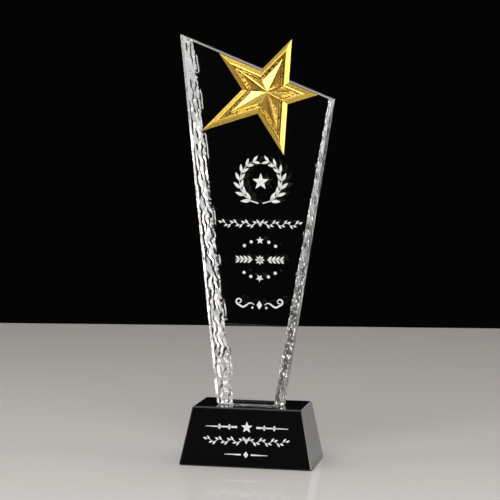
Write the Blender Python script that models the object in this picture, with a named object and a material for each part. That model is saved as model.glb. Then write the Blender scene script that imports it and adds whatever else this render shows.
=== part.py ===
"""Star trophy: a clear glass blade with knapped edges on a black glass block, with a gold star.

Metres, +Z up. The origin is the centre of the block's resting face and the front faces -Y.
"""
import math
import random

import bmesh
import bpy
from mathutils import Vector

# Black glass block, a frustum with polished arrises
BASE_FOOT_WIDTH = 0.080
BASE_FOOT_DEPTH = 0.048
BASE_TOP_WIDTH = 0.066
BASE_TOP_DEPTH = 0.038
BASE_HEIGHT = 0.035
BASE_ARRIS = 0.0008

# Clear glass blade, measured from the middle of its foot
BLADE_THICKNESS = 0.015
BLADE_FOOT_WIDTH = 0.0408
BLADE_FOOT_SHIFT = -0.0003
BLADE_LEFT_RISE = 0.2194
BLADE_LEFT_LEAN = math.radians(6.32)
BLADE_RIGHT_LEAN = math.radians(8.33)
BLADE_TOP_SLOPE = math.radians(22.25)
BLADE_TOP_ARRIS = 0.0009
BLADE_SIDE_ARRIS = 0.0003

# Flakes struck off the two upright edges of the blade's back
FLAKE_STEP = 0.0025
FLAKE_STEPS_SHORTEST = 3
FLAKE_STEPS_LONGEST = 6
FLAKE_LEFT_REACH_AT_FOOT = 0.0079
FLAKE_LEFT_REACH_AT_TOP = 0.0057
FLAKE_LEFT_SIDE_AT_FOOT = 0.0065
FLAKE_LEFT_SIDE_AT_TOP = 0.0047
FLAKE_RIGHT_REACH_AT_FOOT = 0.0075
FLAKE_RIGHT_REACH_AT_TOP = 0.0033
FLAKE_RIGHT_SIDE_AT_FOOT = 0.0058
FLAKE_RIGHT_SIDE_AT_TOP = 0.0025
FLAKE_HOLLOW = 0.0005
FLAKE_RIDGE_SHARE = 0.88
FLAKE_SCATTER = 0.06
FLAKE_SEED = 7

# Glue layers and the clearance on each face of them
SEAT_GAP = 0.0003
BLADE_BOND_THICKNESS = 0.0003
BLADE_BOND_MARGIN = 0.0006
STAR_PAD_THICKNESS = 0.0006
STAR_PAD_INSET = 0.0040

# Gold star, placed from the left end of the blade's slanted top edge
STAR_ALONG_EDGE = 0.0631
STAR_BELOW_EDGE = 0.0107
STAR_TOP_ARM = (0.0336, math.radians(89.2))
STAR_RIGHT_ARM = (0.0289, math.radians(19.3))
STAR_FOOT_ARM = (0.0383, math.radians(-53.8))
STAR_LEFT_ARM = (0.0468, math.radians(-127.8))
STAR_UPPER_ARM = (0.0378, math.radians(165.5))
STAR_EDGE_HEIGHT = 0.0008
STAR_BEVEL_WIDTH = 0.0025
STAR_RIM_HEIGHT = 0.0032
STAR_RIM_WIDTH = 0.0003
STAR_GROOVE_WALL = 0.0003
STAR_GROOVE_WIDTH = 0.0014
STAR_GROOVE_HEIGHT = 0.0023
STAR_APEX_HEIGHT = 0.0076

# Colours and finishes
BLACK_GLASS = ((0.010, 0.010, 0.011, 1.0), 0.04, 0.0)
CLEAR_GLASS = ((0.930, 0.955, 0.950, 1.0), 0.03, 0.0)
CLEAR_RESIN = ((0.880, 0.890, 0.870, 1.0), 0.10, 0.0)
GOLD_PLATE = ((0.830, 0.590, 0.200, 1.0), 0.22, 1.0)

BLADE_FOOT_LEVEL = BASE_HEIGHT + 2.0 * SEAT_GAP + BLADE_BOND_THICKNESS
BLADE_FRONT = -0.5 * BLADE_THICKNESS


def clear_scene():
    """Remove every object that the file opened with."""
    for thing in list(bpy.data.objects):
        bpy.data.objects.remove(thing, do_unlink=True)


def finish_material(name, finish):
    """Return a Principled material of one colour, roughness and metallic value."""
    colour, roughness, metallic = finish
    material = bpy.data.materials.new(name)
    material.use_nodes = True
    shader = material.node_tree.nodes["Principled BSDF"]
    shader.inputs["Base Color"].default_value = colour
    shader.inputs["Roughness"].default_value = roughness
    shader.inputs["Metallic"].default_value = metallic
    return material


def add_object(name, shape, material, parent=None):
    """Turn a bmesh into a named object with its material."""
    bmesh.ops.recalc_face_normals(shape, faces=shape.faces)
    mesh = bpy.data.meshes.new(name)
    shape.to_mesh(mesh)
    shape.free()
    mesh.materials.append(material)
    thing = bpy.data.objects.new(name, mesh)
    thing.parent = parent
    bpy.context.scene.collection.objects.link(thing)
    return thing


def add_face(shape, corners):
    """Make one face through the given vertices."""
    return shape.faces.new(corners)


def bridge(shape, lower, upper):
    """Join two closed loops of the same count with a band of quads."""
    count = len(lower)
    for i in range(count):
        j = (i + 1) % count
        add_face(shape, (lower[i], lower[j], upper[j], upper[i]))


def prism(outline, bottom, top):
    """Extrude a flat outline between two levels."""
    shape = bmesh.new()
    lower = [shape.verts.new((x, y, bottom)) for x, y in outline]
    upper = [shape.verts.new((x, y, top)) for x, y in outline]
    add_face(shape, lower)
    add_face(shape, upper)
    bridge(shape, lower, upper)
    return shape


def rectangle(width, depth):
    """Return the corners of a rectangle about the origin."""
    x = 0.5 * width
    y = 0.5 * depth
    return [(-x, -y), (x, -y), (x, y), (-x, y)]


def build_base():
    """Loft the block from its foot to its smaller top, then bevel every arris."""
    shape = bmesh.new()
    foot = [shape.verts.new((x, y, 0.0)) for x, y in rectangle(BASE_FOOT_WIDTH, BASE_FOOT_DEPTH)]
    top = [shape.verts.new((x, y, BASE_HEIGHT)) for x, y in rectangle(BASE_TOP_WIDTH, BASE_TOP_DEPTH)]
    add_face(shape, foot)
    add_face(shape, top)
    bridge(shape, foot, top)
    block = add_object("base_block", shape, finish_material("black_glass", BLACK_GLASS))
    arris = block.modifiers.new("arris", "BEVEL")
    arris.width = BASE_ARRIS
    arris.segments = 1
    arris.limit_method = "NONE"
    return block


def blade_corners(top_drop=0.0):
    """Return the blade's four corners in the XZ plane, with the top edge lowered square to itself.

    The order is left foot, right foot, top right, top left. The top right corner is where the
    slanted top edge meets the right side.
    """
    half = 0.5 * BLADE_FOOT_WIDTH
    left_foot = Vector((BLADE_FOOT_SHIFT - half, BLADE_FOOT_LEVEL))
    right_foot = Vector((BLADE_FOOT_SHIFT + half, BLADE_FOOT_LEVEL))
    left_way = Vector((-math.tan(BLADE_LEFT_LEAN), 1.0))
    right_way = Vector((math.tan(BLADE_RIGHT_LEAN), 1.0))
    edge_way = Vector((math.cos(BLADE_TOP_SLOPE), -math.sin(BLADE_TOP_SLOPE)))
    edge_up = Vector((-edge_way.y, edge_way.x))
    on_edge = left_foot + left_way * BLADE_LEFT_RISE - edge_up * top_drop

    def meet(foot, way):
        rise = (on_edge - foot).dot(edge_up) / way.dot(edge_up)
        return foot + way * rise

    return left_foot, right_foot, meet(right_foot, right_way), meet(left_foot, left_way)


def strike_flakes(chance, stations):
    """Share a row of stations out among flakes and return each station's (size, hollow) shares.

    A flake is widest and most hollow in its middle and meets its neighbours at a ridge.
    """
    ends = [0]
    while ends[-1] < stations:
        ends.append(ends[-1] + chance.randint(FLAKE_STEPS_SHORTEST, FLAKE_STEPS_LONGEST))
    shares = []
    for start, end in zip(ends, ends[1:]):
        size = 1.0 + FLAKE_SCATTER * chance.uniform(-1.0, 1.0)
        for station in range(start, end):
            swell = math.sin(math.pi * (station - start) / (end - start))
            shares.append((size * (FLAKE_RIDGE_SHARE + (1.0 - FLAKE_RIDGE_SHARE) * swell), swell))
    shares.append((FLAKE_RIDGE_SHARE, 0.0))
    return shares[:stations + 1]


def knapped_section(back_reach, side_reach, share, hollow):
    """Return one side's section from the front face round to the back, as (inward, y) pairs.

    The front edge keeps a small arris. Behind it lies the flat side, and the back edge is a
    hollow scar between the side and the back face.
    """
    half = 0.5 * BLADE_THICKNESS
    reach = back_reach * share
    side = side_reach * share
    points = [(BLADE_SIDE_ARRIS, -half), (0.0, BLADE_SIDE_ARRIS - half)]
    for along in (0.0, 1.0 / 3.0, 2.0 / 3.0, 1.0):
        sink = FLAKE_HOLLOW * hollow * 4.0 * along * (1.0 - along) / math.hypot(reach, side)
        points.append((reach * along + sink * side, half - side * (1.0 - along) - sink * reach))
    return points


def knapped_side(shape, foot, top, crown, mirror, reaches, sides, chance):
    """Build the mesh rows of one upright side, from its foot to the top face.

    mirror is 1 where the glass lies towards +X and -1 where it lies towards -X. reaches and sides
    are a full flake's widths on the back face and on the side, at the foot and at the top. The
    sections start level and turn with the height until they lie along the slanted top edge.
    """
    stations = max(2, round((top - foot).length / FLAKE_STEP))
    flakes = strike_flakes(chance, stations)
    rows = []
    for station in range(stations + 1):
        rise = station / stations
        turn = BLADE_TOP_SLOPE * rise
        inward_way = Vector((math.cos(turn), -math.sin(turn))) * mirror
        back_reach = reaches[0] + (reaches[1] - reaches[0]) * rise
        side_reach = sides[0] + (sides[1] - sides[0]) * rise
        edge = foot.lerp(top, rise)
        row = []
        for inward, y in knapped_section(back_reach, side_reach, *flakes[station]):
            spot = edge + inward_way * inward
            row.append(shape.verts.new((spot.x, y, spot.y)))
        rows.append(row)
    lid = 0.5 * BLADE_THICKNESS - BLADE_TOP_ARRIS
    lift = crown - top
    rows.append([
        shape.verts.new((v.co.x + lift.x, max(-lid, min(lid, v.co.y)), v.co.z + lift.y))
        for v in rows[-1]
    ])
    for lower, upper in zip(rows, rows[1:]):
        for i in range(len(lower) - 1):
            add_face(shape, (lower[i], lower[i + 1], upper[i + 1], upper[i]))
    return rows


def build_blade():
    """Join two knapped sides with flat polished faces and a slanted top with its own arrises."""
    chance = random.Random(FLAKE_SEED)
    shape = bmesh.new()
    left_foot, right_foot, right_top, left_top = blade_corners(BLADE_TOP_ARRIS)
    right_crown, left_crown = blade_corners()[2:]
    left = knapped_side(
        shape, left_foot, left_top, left_crown, 1, (FLAKE_LEFT_REACH_AT_FOOT, FLAKE_LEFT_REACH_AT_TOP),
        (FLAKE_LEFT_SIDE_AT_FOOT, FLAKE_LEFT_SIDE_AT_TOP), chance,
    )
    right = knapped_side(
        shape, right_foot, right_top, right_crown, -1, (FLAKE_RIGHT_REACH_AT_FOOT, FLAKE_RIGHT_REACH_AT_TOP),
        (FLAKE_RIGHT_SIDE_AT_FOOT, FLAKE_RIGHT_SIDE_AT_TOP), chance,
    )
    for column in (0, -1):
        left_line = [row[column] for row in left[:-1]]
        right_line = [row[column] for row in right[:-1]]
        add_face(shape, left_line + right_line[::-1])
        add_face(shape, (left[-2][column], right[-2][column], right[-1][column], left[-1][column]))
    for level in (0, -1):
        add_face(shape, left[level] + right[level][::-1])
    return add_object("blade", shape, finish_material("clear_glass", CLEAR_GLASS))


def build_blade_bond():
    """Make the resin film under the blade's foot, clear of the flakes at its back corners."""
    x = 0.5 * BLADE_FOOT_WIDTH - BLADE_BOND_MARGIN
    y = 0.5 * BLADE_THICKNESS - BLADE_BOND_MARGIN
    outline = [
        (-x, -y),
        (x, -y),
        (x, y - FLAKE_RIGHT_SIDE_AT_FOOT),
        (x - FLAKE_RIGHT_REACH_AT_FOOT, y),
        (FLAKE_LEFT_REACH_AT_FOOT - x, y),
        (-x, y - FLAKE_LEFT_SIDE_AT_FOOT),
    ]
    bottom = BASE_HEIGHT + SEAT_GAP
    shape = prism(outline, bottom, bottom + BLADE_BOND_THICKNESS)
    film = add_object("blade_bond", shape, finish_material("bond_resin", CLEAR_RESIN))
    film.location.x = BLADE_FOOT_SHIFT
    return film


def crossing(a, b, c, d):
    """Return where the line through a and b meets the line through c and d."""
    along = b - a
    other = d - c
    share = (c - a).cross(other) / along.cross(other)
    return a + along * share


def star_points():
    """Return the star's outline: each arm's tip, then the valley before the next arm.

    The arms run clockwise. Every valley is where two chords between tips cross, as in a
    five-pointed star drawn with one line.
    """
    arms = (STAR_TOP_ARM, STAR_RIGHT_ARM, STAR_FOOT_ARM, STAR_LEFT_ARM, STAR_UPPER_ARM)
    tips = [Vector((reach * math.cos(turn), reach * math.sin(turn))) for reach, turn in arms]
    points = []
    for i in range(len(tips)):
        before, tip, after, beyond = (tips[(i + k) % len(tips)] for k in (-1, 0, 1, 2))
        points.append(tip)
        points.append(crossing(tip, beyond, before, after))
    return points


def inset_outline(points, inset):
    """Move every edge of a clockwise outline inwards by the same distance."""
    count = len(points)
    edges = []
    for i in range(count):
        a = points[i]
        b = points[(i + 1) % count]
        way = (b - a).normalized()
        inwards = Vector((way.y, -way.x)) * inset
        edges.append((a + inwards, b + inwards))
    return [crossing(*edges[i - 1], *edges[i]) for i in range(count)]


def star_seat():
    """Place an empty on the blade's front face at the star's centre.

    Its X runs down along the slanted top edge, its Y square to that edge and its Z to the front.
    """
    left_top = blade_corners()[3]
    edge_way = Vector((math.cos(BLADE_TOP_SLOPE), -math.sin(BLADE_TOP_SLOPE)))
    edge_up = Vector((-edge_way.y, edge_way.x))
    centre = left_top + edge_way * STAR_ALONG_EDGE - edge_up * STAR_BELOW_EDGE
    seat = bpy.data.objects.new("star_seat", None)
    seat.location = (centre.x, BLADE_FRONT, centre.y)
    seat.rotation_euler = (math.radians(90.0), BLADE_TOP_SLOPE, 0.0)
    bpy.context.scene.collection.objects.link(seat)
    return seat


def build_star(seat):
    """Raise the star from its outline: upright edge, bevel, rim, groove and ten facets to a peak."""
    rim_outer = STAR_BEVEL_WIDTH
    rim_inner = rim_outer + STAR_RIM_WIDTH
    groove_outer = rim_inner + STAR_GROOVE_WALL
    groove_inner = groove_outer + STAR_GROOVE_WIDTH
    profile = (
        (0.0, 0.0),
        (0.0, STAR_EDGE_HEIGHT),
        (rim_outer, STAR_RIM_HEIGHT),
        (rim_inner, STAR_RIM_HEIGHT),
        (groove_outer, STAR_GROOVE_HEIGHT),
        (groove_inner, STAR_GROOVE_HEIGHT),
    )
    outline = star_points()
    shape = bmesh.new()
    loops = []
    for inset, height in profile:
        points = inset_outline(outline, inset)
        loops.append([shape.verts.new((p.x, p.y, height)) for p in points])
    add_face(shape, loops[0])
    for lower, upper in zip(loops, loops[1:]):
        bridge(shape, lower, upper)
    peak = shape.verts.new((0.0, 0.0, STAR_APEX_HEIGHT))
    crest = loops[-1]
    for i in range(len(crest)):
        add_face(shape, (crest[i], crest[(i + 1) % len(crest)], peak))
    star = add_object("star", shape, finish_material("gold_plate", GOLD_PLATE), seat)
    star.location.z = 2.0 * SEAT_GAP + STAR_PAD_THICKNESS
    return star


def build_star_pad(seat):
    """Cut the adhesive pad to the star's shape, without the arm that stands above the glass."""
    inner = inset_outline(star_points(), STAR_PAD_INSET)
    right_tip = 2
    upper_tip = 8
    outline = [(p.x, p.y) for p in inner[right_tip:upper_tip + 1]]
    shape = prism(outline, SEAT_GAP, SEAT_GAP + STAR_PAD_THICKNESS)
    return add_object("star_pad", shape, finish_material("pad_resin", CLEAR_RESIN), seat)


def main():
    """Build the trophy from the block upwards."""
    clear_scene()
    build_base()
    build_blade_bond()
    build_blade()
    seat = star_seat()
    build_star_pad(seat)
    build_star(seat)


if __name__ == "__main__":
    main()
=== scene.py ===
"""Star trophy in its finishes: knapped clear glass on a black glass block, a gold star, white prints.

Metres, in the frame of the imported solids: +Z up, and the front faces -Y.
"""

import logging
import math
import random
from dataclasses import dataclass, field
from enum import Enum

import bmesh
import bpy
from mathutils import Euler, Matrix, Vector


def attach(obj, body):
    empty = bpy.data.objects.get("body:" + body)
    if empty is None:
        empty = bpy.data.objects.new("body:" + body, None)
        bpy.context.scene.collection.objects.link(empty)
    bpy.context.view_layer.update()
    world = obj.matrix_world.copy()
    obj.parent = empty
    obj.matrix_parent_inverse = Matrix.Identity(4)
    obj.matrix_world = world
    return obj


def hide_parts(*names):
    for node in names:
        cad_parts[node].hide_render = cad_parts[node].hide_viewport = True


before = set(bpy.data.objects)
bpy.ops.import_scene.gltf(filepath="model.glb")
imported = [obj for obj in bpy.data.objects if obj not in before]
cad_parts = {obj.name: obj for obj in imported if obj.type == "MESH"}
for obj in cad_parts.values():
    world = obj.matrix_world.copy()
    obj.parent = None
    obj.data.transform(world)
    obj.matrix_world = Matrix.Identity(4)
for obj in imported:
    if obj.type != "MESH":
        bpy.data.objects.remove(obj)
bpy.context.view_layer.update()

LOG = logging.getLogger("star_trophy")
BODY = "root"

Colour = tuple[float, float, float]
Span = tuple[float, float]
Outline = list[Vector]
Loop = list[bmesh.types.BMVert]
Socket = bpy.types.NodeSocket
NodeInput = float | tuple[float, ...] | Socket


class Slot(Enum):
    """The record's material slots that the new pieces take."""

    CLEAR_GLASS = "clear_glass"
    CLEAR_RESIN = "clear_resin"
    GOLD_PLATE = "gold_plate"
    WHITE_PRINT = "white_print"


class GoldZone(Enum):
    """The bands of the star, from its outer edge inwards. The values are material indices."""

    BEVEL = 0
    RIM = 1
    GROOVE = 2
    FACET = 3


class GlassZone(Enum):
    """The two surfaces of the blade. The values are material indices."""

    POLISHED = 0
    KNAPPED = 1


class Axis(Enum):
    """The axes of the room, in the words of Blender's nodes."""

    X = "X"
    Y = "Y"
    Z = "Z"


class Joining(Enum):
    """How two values of the room's light are joined, in the words of Blender's nodes."""

    ADD = "ADD"
    MULTIPLY = "MULTIPLY"


def add_node(tree: bpy.types.NodeTree, kind: str, inputs: dict[str | int, NodeInput],
             **settings: str) -> bpy.types.Node:
    """Add a node to a tree.

    Args:
        tree: The tree.
        kind: Blender's name for this kind of node.
        inputs: For each input a constant, or the output that feeds it.
        settings: The node's own settings, which are made before its inputs.

    Returns:
        The new node.
    """
    node = tree.nodes.new(kind)
    for name, choice in settings.items():
        setattr(node, name, choice)
    for name, source in inputs.items():
        if isinstance(source, Socket):
            tree.links.new(source, node.inputs[name])
        else:
            node.inputs[name].default_value = source
    return node


class NodeSketch:
    """A node material under construction, with short ways to add what the finishes need."""

    def __init__(self, name: str) -> None:
        """Start a material with its Principled shader.

        Args:
            name: Name of the material.
        """
        self.material = bpy.data.materials.new(name)
        self.material.use_nodes = True
        self.tree = self.material.node_tree
        self.shader = self.tree.nodes["Principled BSDF"]
        self.place = self.tree.nodes.new("ShaderNodeTexCoord").outputs["Object"]

    def feed(self, socket: str, source: Socket) -> None:
        """Link a node's output to one of the shader's sockets."""
        self.tree.links.new(source, self.shader.inputs[socket])

    def noise(self, size: float, detail: float = 2.0, stretch: Colour = (1.0, 1.0, 1.0),
              swirl: float = 0.0) -> Socket:
        """Add a noise pattern in object space.

        Args:
            size: Size of one blotch in metres.
            detail: Octaves of finer noise on top.
            stretch: How many times finer the pattern is along each axis.
            swirl: Distortion of the pattern.

        Returns:
            The noise value.
        """
        mapping = add_node(self.tree, "ShaderNodeMapping", {"Scale": stretch, "Vector": self.place})
        noise = add_node(self.tree, "ShaderNodeTexNoise", {
            "Scale": 1.0 / size, "Detail": detail, "Distortion": swirl, "Vector": mapping.outputs["Vector"],
        })
        return noise.outputs["Fac"]

    def cells(self, size: float) -> Socket:
        """Add a cell pattern and return the distance to each cell's middle."""
        inputs = {"Scale": 1.0 / size, "Vector": self.place}
        return add_node(self.tree, "ShaderNodeTexVoronoi", inputs).outputs["Distance"]

    def spread(self, source: Socket, low: float, high: float,
               start: float = 0.3, end: float = 0.7) -> Socket:
        """Map a pattern from start..end to low..high.

        Args:
            source: The pattern.
            low: Value given at start.
            high: Value given at end.
            start: Pattern value that becomes low.
            end: Pattern value that becomes high.

        Returns:
            The mapped value.
        """
        ramp = add_node(self.tree, "ShaderNodeMapRange", {
            "From Min": start, "From Max": end, "To Min": low, "To Max": high, "Value": source,
        })
        return ramp.outputs["Result"]

    def tint(self, source: Socket, first: Colour, second: Colour) -> Socket:
        """Mix two colours by a pattern that goes from 0, the first, to 1, the second."""
        inputs = {"A": (*first, 1.0), "B": (*second, 1.0), "Factor": source}
        return add_node(self.tree, "ShaderNodeMix", inputs, data_type="RGBA").outputs["Result"]

    def bump(self, height: Socket, depth: float, under: Socket | None = None) -> Socket:
        """Turn a pattern into a bumped normal.

        Args:
            height: The pattern.
            depth: Height in metres that the pattern's full range stands for.
            under: A bumped normal that this one lies on.

        Returns:
            The bumped normal.
        """
        inputs = {"Distance": depth, "Strength": 1.0, "Height": height}
        if under is not None:
            inputs["Normal"] = under
        return add_node(self.tree, "ShaderNodeBump", inputs).outputs["Normal"]


@dataclass(frozen=True)
class Finish:
    """What every finish has: a name and the constants of its shader."""

    name: str
    colour: Colour
    roughness: float
    metallic: float = 0.0
    transmission: float = 0.0
    ior: float = 1.5
    specular: float = 0.5
    lacquer: float = 0.0
    lacquer_roughness: float = 0.05

    def material(self) -> bpy.types.Material:
        """Make the material, with the finish's own detail.

        Returns:
            The finished material.
        """
        sketch = NodeSketch(self.name)
        constants = {
            "Base Color": (*self.colour, 1.0), "Roughness": self.roughness, "Metallic": self.metallic,
            "Transmission Weight": self.transmission, "IOR": self.ior, "Specular IOR Level": self.specular,
            "Coat Weight": self.lacquer, "Coat Roughness": self.lacquer_roughness,
        }
        for socket, value in constants.items():
            sketch.shader.inputs[socket].default_value = value
        self.detail(sketch)
        return sketch.material

    def detail(self, sketch: NodeSketch) -> None:
        """Add the patterns that this finish shows to the material under construction."""
        raise NotImplementedError


@dataclass(frozen=True)
class PolishedSurface(Finish):
    """A polished surface with faint wiping marks and a slight waviness."""

    smear_size: float = 0.012
    smear_roughness: float = 0.03
    wave_size: float = 0.03
    wave_depth: float = 0.00002

    def detail(self, sketch: NodeSketch) -> None:
        """Vary the gloss with wiping marks and let the surface wave a little.

        Args:
            sketch: The material under construction.
        """
        smear = sketch.noise(self.smear_size, detail=4.0, stretch=(1.0, 1.0, 0.5), swirl=0.6)
        wave = sketch.noise(self.wave_size, detail=1.0)
        sketch.feed("Roughness", sketch.spread(smear, self.roughness, self.smear_roughness, 0.45, 0.75))
        sketch.feed("Normal", sketch.bump(wave, self.wave_depth))


@dataclass(frozen=True)
class KnappedSurface(Finish):
    """A struck glass surface: ripples across each scar, fine splinters and patches of haze."""

    ripple_size: float = 0.0016
    ripple_depth: float = 0.000015
    splinter_size: float = 0.0005
    splinter_depth: float = 0.00001
    haze_size: float = 0.003
    haze_roughness: float = 0.06

    def detail(self, sketch: NodeSketch) -> None:
        """Add ripples that lie along the edge, splinters on them, and haze in patches.

        Args:
            sketch: The material under construction.
        """
        haze = sketch.noise(self.haze_size, detail=3.0, stretch=(1.0, 1.0, 0.6), swirl=0.8)
        ripple = sketch.noise(self.ripple_size, detail=1.5, stretch=(1.0, 1.0, 0.45), swirl=1.2)
        splinter = sketch.noise(self.splinter_size, stretch=(1.0, 1.0, 0.5))
        sketch.feed("Roughness", sketch.spread(haze, self.roughness, self.haze_roughness, 0.4, 0.7))
        rippled = sketch.bump(ripple, self.ripple_depth)
        sketch.feed("Normal", sketch.bump(splinter, self.splinter_depth, rippled))


@dataclass(frozen=True)
class GoldPlate(Finish):
    """Gold plating whose grain, mottle and tarnish differ from band to band."""

    deep_colour: Colour = (0.86, 0.60, 0.13)
    rough_high: float = 0.25
    mottle_size: float = 0.0014
    mottle_depth: float = 0.00004
    grain_size: float = 0.0004
    grain_depth: float = 0.000006

    def detail(self, sketch: NodeSketch) -> None:
        """Mix two golds, vary the gloss, and lay fine grain over a slow mottle.

        Args:
            sketch: The material under construction.
        """
        cloud = sketch.noise(self.mottle_size, detail=3.0)
        grain = sketch.noise(self.grain_size, detail=3.0)
        blotch = sketch.spread(cloud, 0.0, 1.0, 0.35, 0.7)
        sketch.feed("Base Color", sketch.tint(blotch, self.colour, self.deep_colour))
        sketch.feed("Roughness", sketch.spread(grain, self.roughness, self.rough_high))
        mottled = sketch.bump(cloud, self.mottle_depth)
        sketch.feed("Normal", sketch.bump(grain, self.grain_depth, mottled))


@dataclass(frozen=True)
class PittedGold(Finish):
    """Gold plating over a coarse grain, with painted shade darkening the pits between the grains."""

    # The near-black pit colour is painted shade in the sunken middles of the cells.
    pit_shade_colour: Colour = (0.02, 0.008, 0.001)
    pit_size: float = 0.0012
    pit_depth: float = 0.00015
    rough_high: float = 0.45

    def detail(self, sketch: NodeSketch) -> None:
        """Sink the middles of a cell pattern, darken them with painted shade and roughen them.

        Args:
            sketch: The material under construction.
        """
        pits = sketch.cells(self.pit_size)
        grain = sketch.spread(pits, 0.0, 1.0, 0.32, 0.48)
        # Painted shade: the middles of the pits take the near-black colour, and the grains take the gold.
        sketch.feed("Base Color", sketch.tint(grain, self.pit_shade_colour, self.colour))
        sketch.feed("Roughness", sketch.spread(pits, self.rough_high, self.roughness, 0.15, 0.5))
        sketch.feed("Normal", sketch.bump(pits, self.pit_depth))


@dataclass(frozen=True)
class WhiteInk(Finish):
    """White print with a fine stipple."""

    shade: Colour = (0.74, 0.74, 0.73)
    patch_size: float = 0.002
    stipple_size: float = 0.0003
    stipple_depth: float = 0.00002
    rough_high: float = 0.75

    def detail(self, sketch: NodeSketch) -> None:
        """Vary the white slightly and give it the stipple of a blasted surface.

        Args:
            sketch: The material under construction.
        """
        stipple = sketch.noise(self.stipple_size)
        patch = sketch.noise(self.patch_size)
        sketch.feed("Base Color", sketch.tint(sketch.spread(patch, 0.0, 1.0), self.colour, self.shade))
        sketch.feed("Normal", sketch.bump(stipple, self.stipple_depth))
        sketch.feed("Roughness", sketch.spread(stipple, self.roughness, self.rough_high))


BLACK_GLASS = PolishedSurface("black_glass", (0.004, 0.004, 0.0045), 0.02, smear_roughness=0.07)
CLEAR_GLASS = PolishedSurface("clear_glass", (0.975, 0.99, 0.985), 0.0, transmission=1.0,
                              smear_roughness=0.012, wave_depth=0.000004)
KNAPPED_GLASS = KnappedSurface("knapped_glass", (0.99, 0.995, 0.99), 0.03, transmission=1.0)
BOND_RESIN = PolishedSurface("bond_resin", (0.95, 0.955, 0.94), 0.05, transmission=1.0, ior=1.48,
                             smear_size=0.004, smear_roughness=0.2)
PAD_RESIN = PolishedSurface("pad_resin", (0.93, 0.93, 0.9), 0.12, transmission=1.0, ior=1.48,
                            smear_size=0.003, smear_roughness=0.3)
GOLD = (0.98, 0.73, 0.17)
GOLD_BANDS = {
    GoldZone.BEVEL: GoldPlate("gold_bevel", (0.98, 0.69, 0.13), 0.2, 1.0, deep_colour=(0.9, 0.6, 0.1),
                              rough_high=0.3, mottle_size=0.0011, mottle_depth=0.00009),
    GoldZone.RIM: GoldPlate("gold_rim", GOLD, 0.1, 1.0, lacquer=0.3, rough_high=0.2),
    GoldZone.GROOVE: PittedGold("gold_grained", (0.79, 0.58, 0.15), 0.3, 1.0),
    GoldZone.FACET: GoldPlate("gold_facet", GOLD, 0.08, 1.0, lacquer=0.15, rough_high=0.16,
                              mottle_size=0.0012, mottle_depth=0.00005),
}
WHITE_INK = WhiteInk("white_ink", (0.86, 0.86, 0.85), 0.5)
PALE_TABLE = PolishedSurface("pale_table", (0.56, 0.547, 0.53), 0.4, specular=0.0, lacquer=0.4,
                             smear_size=0.05, smear_roughness=0.5, wave_size=0.2)


def add_piece(name: str, shape: bmesh.types.BMesh, finishes: list[Finish]) -> bpy.types.Object:
    """Turn a bmesh into a named object in the scene.

    Args:
        name: Name of the piece.
        shape: The mesh, which is freed.
        finishes: One finish for each material index.

    Returns:
        The new object.
    """
    bmesh.ops.recalc_face_normals(shape, faces=shape.faces)
    mesh = bpy.data.meshes.new(name)
    shape.to_mesh(mesh)
    shape.free()
    for finish in finishes:
        mesh.materials.append(finish.material())
    piece = bpy.data.objects.new(name, mesh)
    bpy.context.scene.collection.objects.link(piece)
    return piece


def seat_piece(piece: bpy.types.Object, slot: Slot, *nodes: str) -> None:
    """Fix a piece to the trophy and report it.

    Args:
        piece: The piece, in its place.
        slot: The record's material slot.
        nodes: The CAD nodes that it replaces.
    """
    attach(piece, BODY)
    if nodes:
        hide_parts(*nodes)
    LOG.info("piece %s: %d faces, slot %s", piece.name, len(piece.data.polygons), slot.value)


def dress_node(node: str, finish: Finish) -> None:
    """Give a CAD node that stays in view its finished material.

    Args:
        node: Name of the node.
        finish: Its finish.
    """
    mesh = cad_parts[node].data
    mesh.materials.clear()
    mesh.materials.append(finish.material())
    LOG.info("node %s dressed as %s", node, finish.name)


def bridge(shape: bmesh.types.BMesh, lower: Loop, upper: Loop, index: int = 0) -> None:
    """Join two closed loops of the same count with a band of quads.

    Args:
        shape: The mesh.
        lower: First loop.
        upper: Second loop.
        index: Material index of the band.
    """
    count = len(lower)
    for i in range(count):
        j = (i + 1) % count
        face = shape.faces.new((lower[i], lower[j], upper[j], upper[i]))
        face.material_index = index


def loft(shape: bmesh.types.BMesh, loops: list[Loop]) -> None:
    """Join a stack of closed loops into one body with a cap at each end.

    Args:
        shape: The mesh.
        loops: The loops from end to end, all of the same count.
    """
    shape.faces.new(loops[0])
    shape.faces.new(loops[-1])
    for lower, upper in zip(loops, loops[1:]):
        bridge(shape, lower, upper)


def smooth_with_creases(mesh: bpy.types.Mesh, angle: float, creases: set[tuple[int, int]]) -> None:
    """Shade a mesh smooth, but keep its sharp edges and some chosen lines crisp.

    Args:
        mesh: The mesh.
        angle: Edges that turn by more than this stay sharp.
        creases: Vertex pairs of further edges that stay sharp.
    """
    mesh.shade_smooth()
    mesh.set_sharp_from_angle(angle=angle)
    for edge in mesh.edges:
        if edge.key in creases:
            edge.use_edge_sharp = True


def crossing(a: Vector, b: Vector, c: Vector, d: Vector) -> Vector:
    """Find where two lines meet.

    Args:
        a: A point of the first line.
        b: Another point of it.
        c: A point of the second line.
        d: Another point of it.

    Returns:
        The point that both lines share.
    """
    along = b - a
    other = d - c
    return a + along * ((c - a).cross(other) / along.cross(other))


def inset_outline(points: Outline, distance: float) -> Outline:
    """Move every edge of a clockwise outline inwards by the same distance.

    Args:
        points: The outline.
        distance: How far the edges move.

    Returns:
        The smaller outline, with the same number of points.
    """
    edges = []
    for a, b in zip(points, points[1:] + points[:1]):
        way = (b - a).normalized()
        inwards = Vector((way.y, -way.x)) * distance
        edges.append((a + inwards, b + inwards))
    return [crossing(*edges[i - 1], *edges[i]) for i in range(len(edges))]


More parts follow.
